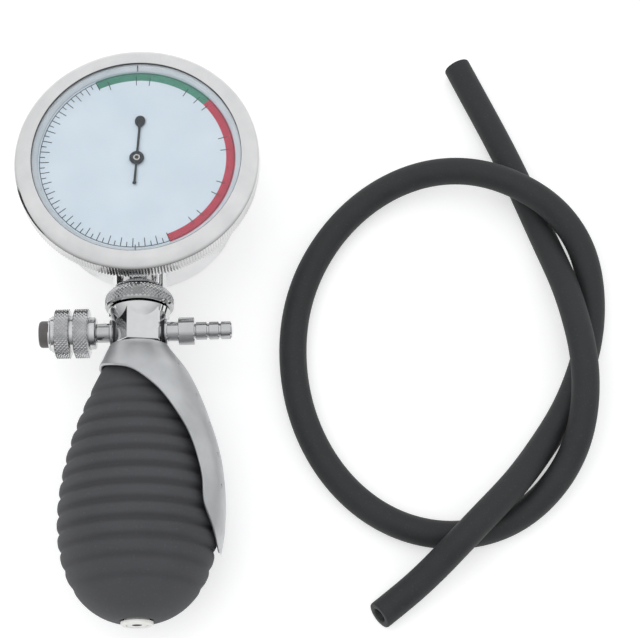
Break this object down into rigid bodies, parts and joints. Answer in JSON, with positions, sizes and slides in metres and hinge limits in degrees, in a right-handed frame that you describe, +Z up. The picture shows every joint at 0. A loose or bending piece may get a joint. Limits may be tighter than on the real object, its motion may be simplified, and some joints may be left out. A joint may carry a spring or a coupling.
{
  "type": "hand vacuum pump",
  "caption": "Hand vacuum pump: ribbed rubber squeeze bulb under a metal palm shell, valve block with release knob and hose nipple, chrome dial gauge, and a loose black rubber hose.",
  "frame": {"origin": "on the surface the pump lies on, under the middle of the pump's own footprint, hose left out", "axes": "+Y along the pump towards the gauge, +Z up through the dial side, +X towards the hose nipple"},
  "size_m": [0.1613, 0.1668, 0.0416],
  "materials": {
    "chrome": "polished chrome plate",
    "satin_steel": "satin",
    "brass": "machined",
    "spring_steel": "drawn",
    "bulb_rubber": "matte",
    "hose_rubber": "matte",
    "seal_rubber": "matte",
    "pale_plastic": "satin",
    "dial_paint": "satin paint",
    "pointer_paint": "matte paint",
    "button_plastic": "fine matte",
    "cream_plastic": "satin",
    "lens_glass": "clear"
  },
  "bodies": {
    "pump": {"bezel_ring": "chrome", "bridge_screw_1": "spring_steel", "bridge_screw_2": "spring_steel", "bridge_screw_3": "spring_steel", "bulb_connector": "chrome", "capsule": "brass", "capsule_stud": "brass", "case_stem": "chrome", "check_valve_keeper": "brass", "dial_plate": "dial_paint", "end_valve_body": "cream_plastic", "end_valve_cap": "cream_plastic", "feed_tube": "brass", "gauge_case": "chrome", "hairspring": "spring_steel", "hose_nipple": "chrome", "lens": "lens_glass", "lens_gasket": "pale_plastic", "movement_bridge": "brass", "movement_pillar_1": "brass", "movement_pillar_2": "brass", "movement_pillar_3": "brass", "movement_plate": "brass", "movement_post_1": "brass", "movement_post_2": "brass", "movement_post_3": "brass", "nipple_washer": "seal_rubber", "palm_shell": "satin_steel", "rocker_ear_1": "brass", "rocker_ear_2": "brass", "stem_seal": "seal_rubber", "union_nut": "chrome", "valve_block": "chrome", "valve_stem": "chrome", "valve_washer": "seal_rubber"},
    "pointer": {"pointer": "pointer_paint", "pointer_arbor": "brass"},
    "sector": {"sector_gear": "brass", "sector_shaft": "spring_steel"},
    "rocker": {"rocker_shaft": "spring_steel"},
    "capsule_pin": {"capsule_pin": "spring_steel"},
    "valve_needle": {"valve_needle": "brass"},
    "valve_knob": {"valve_knob": "chrome", "button_collar": "chrome", "button_spring": "spring_steel"},
    "push_button": {"push_button": "button_plastic"},
    "check_disc": {"check_valve_disc": "seal_rubber"},
    "end_disc": {"end_valve_disc": "seal_rubber"},
    "bulb": {"bulb": "bulb_rubber"},
    "hose": {"hose": "hose_rubber"}
  },
  "joints": [
    {"name": "pointer_turn", "type": "hinge", "parent": "pump", "child": "pointer", "pos_m": [0, 0.04592, 0.03156], "axis": [0, -0.0471, -0.9989], "range_deg": [0, 330], "stiffness_Nm_per_rad": 0.00002},
    {"name": "sector_swing", "type": "hinge", "parent": "pump", "child": "sector", "pos_m": [0.0049, 0.03868, 0.0319], "axis": [0, 0.0471, 0.9989], "range_deg": [0, 55]},
    {"name": "rocker_rock", "type": "hinge", "parent": "pump", "child": "rocker", "pos_m": [0.0038, 0.04538, 0.02007], "axis": [0, 0.9989, -0.0471], "range_deg": [0, 24]},
    {"name": "capsule_lift", "type": "slide", "parent": "pump", "child": "capsule_pin", "axis": [0, 0.0471, 0.9989], "range_m": [0, 0.0016]},
    {"name": "valve_rise", "type": "slide", "parent": "pump", "child": "valve_needle", "axis": [-1, 0, 0], "range_m": [0, 0.00105]},
    {"name": "valve_turn", "type": "hinge", "parent": "valve_needle", "child": "valve_knob", "pos_m": [-0.018, -0.00012, 0.0208], "axis": [-1, 0, 0], "range_deg": [0, 540]},
    {"name": "button_press", "type": "slide", "parent": "valve_knob", "child": "push_button", "axis": [1, 0, 0], "range_m": [0, 0.002], "stiffness_N_per_m": 400, "deforming": ["button_spring"]},
    {"name": "bulb_squeeze", "type": "slide", "parent": "pump", "child": "bulb", "axis": [1, 0, 0], "range_m": [0, 0.008], "stiffness_N_per_m": 2000, "deforming": ["bulb"]},
    {"name": "check_disc_lift", "type": "slide", "parent": "pump", "child": "check_disc", "axis": [0, -1, 0], "range_m": [0, 0.0009], "stiffness_N_per_m": 20},
    {"name": "end_disc_lift", "type": "slide", "parent": "pump", "child": "end_disc", "axis": [0, -1, 0], "range_m": [0, 0.0009], "stiffness_N_per_m": 20},
    {"name": "hose_lift", "type": "slide", "parent": "pump", "child": "hose", "axis": [0, 0, 1], "range_m": [0, 0.1]}
  ],
  "couplings": [
    {"joint": "pointer_turn", "follows": "capsule_lift", "rad_per_m": 3599.7},
    {"joint": "sector_swing", "follows": "capsule_lift", "rad_per_m": 599.96},
    {"joint": "rocker_rock", "follows": "capsule_lift", "rad_per_m": 261.8},
    {"joint": "valve_turn", "follows": "valve_rise", "rad_per_m": 8976}
  ]
}
